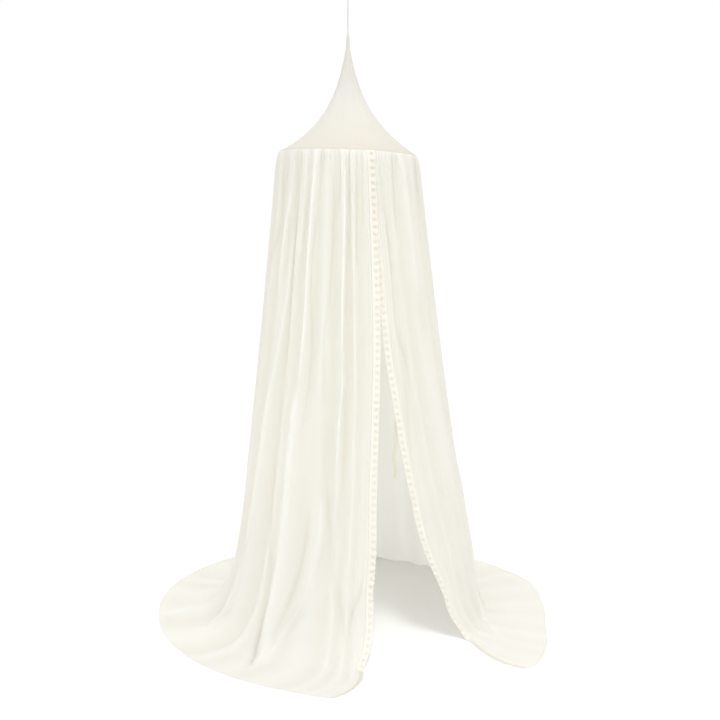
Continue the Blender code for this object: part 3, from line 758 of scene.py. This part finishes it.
def drape_grid():
    """Points of the drape, their places in the flat cloth, and their painted light and shade.

    The columns run from the left edge round the back to the right one. fold counts the
    valleys before a column, and the columns of a row share out the angles between them.
    """
    at_hoop, at_foot, depths = fold_table()
    steps = np.full(len(depths) + 1, BACK_STEPS)
    steps[:len(LEFT_FOLDS)] = FRONT_STEPS
    steps[-len(RIGHT_FOLDS):] = FRONT_STEPS
    fold = np.concatenate([f + np.arange(n) / n for f, n in enumerate(steps)]
                          + [[len(depths) + 1.0]])
    kinds, places, nominal = drape_rows()
    left, right = free_edges(kinds, places, nominal)
    edge_radius = surface(kinds, places, left[:, None])[0][:, 0]
    width = np.degrees(LACE_WIDTH / edge_radius)
    progress = np.maximum((HOOP_HEIGHT - nominal) / HOOP_HEIGHT, 0.0) ** FOLD_PROGRESS
    folds = at_hoop + (at_foot - at_hoop) * progress[:, None]
    foot_left = smooth(0.0, *np.array(EDGES).T[:2])
    pull = np.where(kinds == TRAIN, left - foot_left, 0.0)[:, None]
    folds = folds + pull * np.exp((folds - left[:, None]) / HEM_PULL_REACH)
    anchors = np.concatenate([(left - width)[:, None], folds, (right + width)[:, None]], axis=1)
    whole = np.minimum(fold.astype(int), len(depths))
    azimuth = anchors[:, whole] + (anchors[:, whole + 1] - anchors[:, whole]) * (fold - whole)

    radius, height, out, up, shift, level = surface(kinds, places, azimuth)
    ridge = np.sin(math.pi * fold) ** 2
    depth = np.interp(fold, np.arange(len(depths) + 2), [0.0, *depths, 0.0])
    drop = np.maximum(HOOP_HEIGHT - nominal[:, None], 0.0)
    grown = 1 - np.exp(-drop / FOLD_GROWTH)
    part = floor_share(kinds, places)
    left_on = np.where(kinds == TRAIN, (1 - places) ** HUMP_FADE, 1.0)[:, None]
    main = depth * grown * ((1 - part) * (ridge - 1) + part * HUMP_SHARE * ridge * left_on)
    edge_fade = np.clip(np.minimum(fold, len(depths) + 1 - fold) * EDGE_GROWTH, 0.0, 1.0)
    held = 1 - np.exp(-drop / SEAM_HOLD)
    creases = crease_rise(azimuth, radius, level) * held * edge_fade
    gathers = gather_rise(np.radians(azimuth[0]) * HOOP_RADIUS, drop) * edge_fade
    apart = np.minimum(azimuth[:, :1] - azimuth, azimuth - azimuth[:, -1:])
    from_lace = np.radians(apart) * radius
    turned = np.exp(-((from_lace - TURNED_PLACE) / TURNED_HALF) ** 2) * held
    offset = main + creases + gathers + TURNED_RISE * turned

    # Painted light and shade: lighter on the train and under the seam, darker in the valleys,
    # lighter on the ridges
    lowness = np.clip(1 - nominal / PAINTED_LIGHT_RISE, 0.0, 1.0)[:, None]
    height_painted_light = (PAINTED_LIGHT_WALL + (PAINTED_LIGHT_TRAIN - PAINTED_LIGHT_WALL) * lowness
                 + PAINTED_LIGHT_SEAM * np.exp(-drop / PAINTED_LIGHT_SEAM_REACH))
    fold_painted_shade = creases + gathers + PAINTED_SHADE_FOLD * depth * (ridge - PAINTED_SHADE_MIDDLE)
    shade_and_tone = np.clip(height_painted_light + turned + fold_painted_shade / PAINTED_SHADE_DEPTH, 0.0, 1.0)

    turn = np.radians(azimuth)
    far = radius + offset * out
    lift = part * THIN_CLOTH / 2
    z = np.maximum(height + offset * up + lift, THIN_CLOTH / 2)
    points = np.stack([shift + far * np.sin(turn), -far * np.cos(turn), z], axis=-1)
    along = np.cumsum(np.linalg.norm(np.diff(points, axis=0, prepend=points[:1]), axis=-1), axis=0)
    across = np.broadcast_to(fold / fold[-1] * DRAPE_FLAT[0], along.shape)
    from_hem = along[-1] - along
    points[..., 2] += HEM_STEP * np.clip((HEM_TURN - from_hem) / HEM_STEP_WIDTH, 0.0, 1.0)
    # Painted shade: a thin dark line along the hem's edge
    shade_and_tone = shade_and_tone * (1 - np.exp(-(from_hem / HEM_SHADE_LINE) ** 2))
    return points, np.stack([across, from_hem], axis=-1), shade_and_tone


drape_voile = cloth_material("ivory_voile", DRAPE_COLOR, DRAPE_THREAD, DRAPE_PAINTED_SHADE,
                             *DRAPE_WEAVE)
drape_points, drape_flat, drape_painted_shade = drape_grid()
drape = add_cloth("drape_voile", drape_points, grid_quads(*drape_points.shape[:2]),
                  drape_voile, THIN_CLOTH, drape_flat, drape_painted_shade)
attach(drape, "root")
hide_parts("drape")


# Lace. Cotton eyelet lace, 25 mm wide, sewn along both front edges: a row of eyelets
# with four small ones round each, and a scalloped free edge with a raised border.
# How far the strip's free side stands off the wall's surface, how far its sewn side lies
# over the cloth, and the height at which the right strip starts
LACE_LIFT = 0.005
SEAM_OVERLAP = 0.0015
RIGHT_LACE_TOP = 1.700
# Tile: length, cells along and across, and what repeats in it
TILE_LENGTH = 0.050
TILE_CELLS = 40
LACE_CELLS = 20
SCALLOPS = 3
SCALLOP_DEPTH = 0.0035
SCALLOP_POWER = 0.7
CLUSTERS = 2
# Holes: radii, distance of the small ones from the eyelet, and its place across the strip.
# Grid points within a share of a cell are drawn onto a rim, and a quad is left out if its
# middle is within a share of the radius.
EYELET_RADIUS = 0.0021
PETAL_RADIUS = 0.0014
PETAL_REACH = 0.0042
EYELET_ACROSS = 0.0145
RIM_DRAW = 0.56
HOLE_SHARE = 0.86
# Relief: rise of the rims and the border with the half width of each, rise and width of
# the sewn side
RIM_RISE = 0.0005
RIM_HALF = 0.0009
BORDER_HALF = 0.0012
JOIN_RISE = 0.0014
JOIN_WIDTH = 0.0022
# Step along the strip in which its direction is read
LACE_STEP = 0.002
LACE_THICKNESS = 0.0009
LACE_COLOR = (0.924, 0.905, 0.854)
LACE_THREAD = (0.904, 0.882, 0.827)
LACE_NET = (0.87, 0.84, 0.77)
LACE_WEAVE = (0.0011, 0.0005, 0.5)
# Radius round an eyelet in which the net between the rims is darker
NET_RADIUS = 0.0070
LACE_LENGTHS = (2.00, 1.98)


def lace_edges(side):
    """Points down the sewn side and down the free edge of a lace strip.

    side is 1 for the left strip and -1 for the right one. The left free edge stands a
    little outside the cloth, and the right one inside it.
    """
    kinds, places, nominal = drape_rows()
    left, right = free_edges(kinds, places, nominal)
    radius = surface(kinds, places, left[:, None])[0][:, 0]
    width = np.degrees((LACE_WIDTH + SEAM_OVERLAP) / radius)
    free = left if side > 0 else right
    azimuth = np.stack([free - side * width, free], axis=1)
    radius, height, out, up, shift, _ = surface(kinds, places, azimuth)
    turn = np.radians(azimuth)
    z = height + floor_share(kinds, places) * LACE_THICKNESS / 2
    points = np.stack([shift + radius * np.sin(turn), -radius * np.cos(turn), z], axis=-1)
    steady = np.clip((nominal - FLARE_START) / (WALL_FOOT - FLARE_START), 0.0, 1.0)[:, None]
    level = np.zeros(len(turn))
    outward = np.stack([np.sin(turn[:, 1]), -np.cos(turn[:, 1]), level], axis=-1)
    points[:, 1] += side * LACE_LIFT * steady * outward
    return points if side > 0 else points[nominal < RIGHT_LACE_TOP]


def eyelet_holes():
    """Places along and across one tile, and radii, of all its holes."""
    holes = []
    for cluster in range(CLUSTERS):
        middle = (cluster + 0.5) * TILE_LENGTH / CLUSTERS
        holes.append((middle, EYELET_ACROSS, EYELET_RADIUS))
        for along in (-1, 1):
            for across in (-1, 1):
                holes.append((middle + along * PETAL_REACH, EYELET_ACROSS + across * PETAL_REACH,
                              PETAL_RADIUS))
    return holes


def lace_strip(edges):
    """Points, quads, flat places and colour shares of a whole strip, its net darker round the
    eyelets.

    The strip is a grid in tiles. In each tile the grid points near a hole's rim are
    drawn onto its circle, and the quads inside it are left out.
    """
    steps = np.linalg.norm(np.diff(edges[:, 0], axis=0), axis=1)
    travel = np.concatenate([[0.0], np.cumsum(steps)])
    tiles = round(travel[-1] / TILE_LENGTH)
    rows, columns = tiles * TILE_CELLS + 1, LACE_CELLS + 1
    stretch = travel[-1] / (tiles * TILE_LENGTH)
    along = np.repeat(np.arange(rows)[:, None] * TILE_LENGTH / TILE_CELLS, columns, axis=1)
    scallop = np.abs(np.sin(math.pi * SCALLOPS * along[:, :1] / TILE_LENGTH)) ** SCALLOP_POWER
    edge = LACE_WIDTH - SCALLOP_DEPTH * (1 - scallop)
    across = np.arange(columns) / LACE_CELLS * edge
    draw_reach = RIM_DRAW * TILE_LENGTH / TILE_CELLS
    whole = np.floor(along / TILE_LENGTH + 1e-9) * TILE_LENGTH
    rim, net = np.zeros_like(along), np.zeros_like(along)
    for hole_along, hole_across, hole_radius in eyelet_holes():
        da, dc = along - whole - hole_along, across - hole_across
        distance = np.maximum(np.hypot(da, dc), 1e-9)
        near = np.abs(distance - hole_radius) < draw_reach
        along = np.where(near, along + da / distance * (hole_radius - distance), along)
        across = np.where(near, across + dc / distance * (hole_radius - distance), across)
        rim = np.maximum(rim, np.exp(-((distance - hole_radius) / RIM_HALF) ** 2))
        if hole_radius == EYELET_RADIUS:
            net = np.maximum(net, np.exp(-(distance / NET_RADIUS) ** 4))
    quads = grid_quads(rows, columns)
    middle_along = along.ravel()[quads].mean(axis=1)
    middle_across = across.ravel()[quads].mean(axis=1)
    middle_along = middle_along - np.floor(middle_along / TILE_LENGTH) * TILE_LENGTH
    kept = np.ones(len(quads), bool)
    for hole_along, hole_across, hole_radius in eyelet_holes():
        distance = np.hypot(middle_along - hole_along, middle_across - hole_across)
        kept &= distance > hole_radius * HOLE_SHARE
    border = np.exp(-((edge - across) / BORDER_HALF) ** 2)
    join = np.exp(-(across / JOIN_WIDTH) ** 2)

    def read(points, at):
        """Points of an edge at distances along the sewn side."""
        return np.stack([np.interp(at, travel, points[:, k]) for k in range(3)], axis=-1)

    at = along * stretch
    sewn, free = read(edges[:, 0], at), read(edges[:, 1], at)
    share = (across / LACE_WIDTH)[..., None]
    points = sewn + (free - sewn) * share
    ahead = read(edges[:, 0], at + LACE_STEP) - read(edges[:, 0], at - LACE_STEP)
    normal = np.cross(free - sewn, ahead)
    normal /= np.linalg.norm(normal, axis=-1, keepdims=True)
    outward = points * [1.0, 1.0, 0.0] + [0.0, 0.0, 0.3]
    normal *= np.sign(np.sum(normal * outward, axis=-1, keepdims=True))
    rise = RIM_RISE * np.maximum(rim, border) + JOIN_RISE * join
    points = points + normal * rise[..., None]
    used = np.unique(quads[kept])
    renumber = np.zeros(rows * columns, int)
    renumber[used] = np.arange(len(used))
    flat = np.stack([across, along], axis=-1)
    shade_and_tone = 1 - net * (1 - rim)
    return (points.reshape(-1, 3)[used], renumber[quads[kept]], flat.reshape(-1, 2)[used],
            shade_and_tone.ravel()[used])


lace_cotton = cloth_material("cotton_lace", LACE_COLOR, LACE_THREAD, LACE_NET, *LACE_WEAVE)
for lace_name, lace_side, lace_length in (("lace_left", 1.0, LACE_LENGTHS[0]),
                                          ("lace_right", -1.0, LACE_LENGTHS[1])):
    lace_points, lace_quads, lace_flat, lace_tone = lace_strip(lace_edges(lace_side))
    lace = add_cloth(lace_name + "_strip", lace_points, lace_quads, lace_cotton, LACE_THICKNESS,
                     lace_flat, lace_tone)
    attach(lace, "root")
    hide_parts(lace_name)


# Tie. A narrow ribbon of cotton, sewn behind the right lace, which hangs down
# freely to its pointed end. Its colours are darker than the drape's: painted shade, for
# the shadow behind the lace.
TIE_HEIGHT = 0.790
TIE_BEHIND = 0.0023
TIE_LENGTH = 0.200
TIE_WIDTH = 0.010
# Point at the end: its length, and the part of the ribbon from which it is cut
TIE_POINT = 0.006
TIE_POINT_START = 0.95
# Slow sway to the side and number of its turns, then the curl of the ribbon's sides with
# the angles, in radians, that it has at the top and gains downwards
TIE_SWAY = -0.003
TIE_TURNS = 1.3
TIE_CURL = 0.0008
TIE_CURL_ANGLES = (0.4, 9.0)
TIE_ROWS = 90
TIE_COLUMNS = 12
TIE_THICKNESS = 0.0012
# Colours of the ribbon and its threads, darkened as painted shade
TIE_SHADED_COLOR = (0.80, 0.745, 0.63)
TIE_SHADED_THREAD = (0.74, 0.68, 0.56)
TIE_WEAVE = (0.0006, 0.0003, 0.15)


def tie_grid():
    """Points of the ribbon and their places in it: a straight fall with a slow sway."""
    azimuth = math.radians(float(smooth(TIE_HEIGHT, *np.array(EDGES).T[[0, 2]])))
    radius = wall_radius(TIE_HEIGHT) - LACE_LIFT - TIE_BEHIND
    side = np.array([math.cos(azimuth), math.sin(azimuth), 0.0])
    inward = np.array([-math.sin(azimuth), math.cos(azimuth), 0.0])
    top = np.array([lean(TIE_HEIGHT), 0.0, TIE_HEIGHT]) - radius * inward
    part = np.linspace(0.0, 1.0, TIE_ROWS)[:, None, None]
    across = np.linspace(-1.0, 1.0, TIE_COLUMNS)[None, :, None]
    sway = TIE_SWAY * part * np.sin(2 * math.pi * TIE_TURNS * part)
    curl_angle = TIE_CURL_ANGLES[1] * part + TIE_CURL_ANGLES[0]
    curl = TIE_CURL * (1 - across ** 2) * np.sin(curl_angle) ** 2
    tip = np.clip((part - TIE_POINT_START) / (1 - TIE_POINT_START), 0.0, 1.0)
    drop = TIE_LENGTH * part + TIE_POINT * (across + 1) / 2 * tip
    points = (top + (abs(TIE_SWAY) * part + np.abs(sway) + curl) * inward
              + (across * TIE_WIDTH / 2 - sway) * side - drop * [0.0, 0.0, 1.0])
    flat = np.concatenate(np.broadcast_arrays(across * TIE_WIDTH / 2, part * TIE_LENGTH),
                          axis=-1)
    return points, flat


tie_cotton = cloth_material("tie_cotton", TIE_SHADED_COLOR, TIE_SHADED_THREAD, CROWN_PAINTED_SHADE, *TIE_WEAVE)
tie_points, tie_flat = tie_grid()
tie = add_cloth("tie_ribbon", tie_points, grid_quads(TIE_ROWS, TIE_COLUMNS), tie_cotton,
                TIE_THICKNESS, tie_flat)
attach(tie, "root")
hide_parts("tie")


# Floor and light. A plain white floor that runs out of sight, a white surround, a wide soft
# light overhead, and three soft far ones: the key light high in front, a little to the
# right, a weak one from the front left and a weak one from behind.
FLOOR_SIZE = 40.0
FLOOR_COLOR = (0.832, 0.829, 0.822)
SURROUND = 1.04
DAYLIGHT = (0.972, 0.985, 1.0)
# Overhead light: side of its square, power, place. Far lights: strength, spread, and the
# azimuth and elevation that they come from, in degrees
TOP_LIGHT = (3.4, 34.0, (0.2, -0.6, 3.6))
KEY_LIGHT = (1.15, 13.0, 9.0, 67.0)
SIDE_LIGHT = (0.15, 30.0, -50.0, 32.0)
BACK_LIGHT = (0.25, 40.0, 172.0, 52.0)

floor_mesh = bpy.data.meshes.new("floor")
half = FLOOR_SIZE / 2
floor_mesh.from_pydata([(-half, -half, floor_z), (half, -half, floor_z),
                        (half, half, floor_z), (-half, half, floor_z)], [], [(0, 1, 2, 3)])
floor_paint, floor_shader, _, _ = start_material("white_floor")
floor_shader.inputs["Base Color"].default_value = (*FLOOR_COLOR, 1.0)
floor_shader.inputs["Roughness"].default_value = 0.95
floor_mesh.materials.append(floor_paint)
floor = bpy.data.objects.new("floor", floor_mesh)
bpy.context.collection.objects.link(floor)

world = bpy.data.worlds.new("surround")
world.use_nodes = True
surround = world.node_tree.nodes["Background"]
surround.inputs["Color"].default_value = (*DAYLIGHT, 1.0)
surround.inputs["Strength"].default_value = SURROUND
bpy.context.scene.world = world


def add_softbox(name, size, power, place, target):
    """Square area light of a given power, turned to face a point."""
    light = bpy.data.lights.new(name, "AREA")
    light.size = size
    light.energy = power
    lamp = bpy.data.objects.new(name, light)
    bpy.context.collection.objects.link(lamp)
    lamp.location = (place[0], place[1], place[2] + floor_z)
    away = lamp.location - target
    lamp.rotation_euler = away.to_track_quat("Z", "Y").to_euler()


def add_far_light(name, strength, spread, azimuth, elevation):
    """Soft light from far away, of a spread in degrees round an azimuth and an elevation."""
    light = bpy.data.lights.new(name, "SUN")
    light.color = DAYLIGHT
    light.energy = strength
    light.angle = math.radians(spread)
    lamp = bpy.data.objects.new(name, light)
    bpy.context.collection.objects.link(lamp)
    lamp.rotation_euler = (math.radians(90 - elevation), 0.0, math.radians(azimuth))


middle = cad_box[0].lerp(cad_box[1], 0.5)
add_softbox("top_light", *TOP_LIGHT, middle)
add_far_light("key_light", *KEY_LIGHT)
add_far_light("side_light", *SIDE_LIGHT)
add_far_light("back_light", *BACK_LIGHT)
bpy.context.scene.view_settings.view_transform = "Standard"
